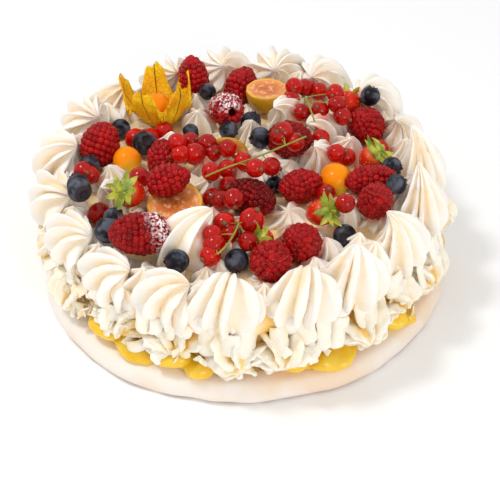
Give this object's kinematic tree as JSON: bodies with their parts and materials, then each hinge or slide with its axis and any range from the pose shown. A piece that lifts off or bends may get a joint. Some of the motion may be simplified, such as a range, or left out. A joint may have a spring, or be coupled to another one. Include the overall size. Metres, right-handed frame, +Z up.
{
  "type": "pavlova",
  "caption": "Round layered meringue cake with yellow curd, whipped cream and a ring of piped meringue kisses, topped with mixed berries, figs and physalis.",
  "frame": {"origin": "on the flat underside, below the middle of the cake's bounding box", "axes": "+Z up, the cake's axis; -Y is the front, +X is to the right seen from the front"},
  "size_m": [0.248, 0.2446, 0.0963],
  "materials": {
    "meringue": "matte, baked ivory meringue with peach grooves",
    "curd": "smooth glossy yellow curd",
    "whipped_cream": "soft matte whipped cream",
    "raspberry": "satin crimson drupelets",
    "blueberry": "dark blue skin with pale bloom",
    "red_currant": "glossy translucent red skin",
    "physalis": "glossy orange skin",
    "physalis_husk": "papery amber husk with dark veins",
    "fig": "moist peach flesh with yellow-green skin",
    "strawberry": "glossy red skin with green leaves"
  },
  "bodies": {
    "root": {"blueberry_1": "blueberry", "blueberry_10": "blueberry", "blueberry_11": "blueberry", "blueberry_12": "blueberry", "blueberry_13": "blueberry", "blueberry_14": "blueberry", "blueberry_15": "blueberry", "blueberry_16": "blueberry", "blueberry_17": "blueberry", "blueberry_18": "blueberry", "blueberry_19": "blueberry", "blueberry_2": "blueberry", "blueberry_3": "blueberry", "blueberry_4": "blueberry", "blueberry_5": "blueberry", "blueberry_6": "blueberry", "blueberry_7": "blueberry", "blueberry_8": "blueberry", "blueberry_9": "blueberry", "curd": "curd", "currant_1": "red_currant", "currant_2": "red_currant", "currant_3": "red_currant", "currant_sprig_1": "red_currant", "currant_sprig_2": "red_currant", "currant_sprig_3": "red_currant", "currant_sprig_4": "red_currant", "currant_sprig_5": "red_currant", "currant_sprig_6": "red_currant", "currant_sprig_7": "red_currant", "fig_half_1": "fig", "fig_half_2": "fig", "fig_wedge_1": "fig", "meringue_base": "meringue", "meringue_crown": "meringue", "physalis_1": "physalis", "physalis_2": "physalis", "physalis_3": "physalis", "physalis_husk": "physalis_husk", "raspberry_1": "raspberry", "raspberry_10": "raspberry", "raspberry_11": "raspberry", "raspberry_12": "raspberry", "raspberry_13": "raspberry", "raspberry_14": "raspberry", "raspberry_15": "raspberry", "raspberry_2": "raspberry", "raspberry_3": "raspberry", "raspberry_4": "raspberry", "raspberry_5": "raspberry", "raspberry_6": "raspberry", "raspberry_7": "raspberry", "raspberry_8": "raspberry", "raspberry_9": "raspberry", "strawberry_1": "strawberry", "strawberry_2": "strawberry", "strawberry_3": "strawberry", "strawberry_4": "strawberry", "strawberry_5": "strawberry", "whipped_cream": "whipped_cream"}
  },
  "joints": []
}
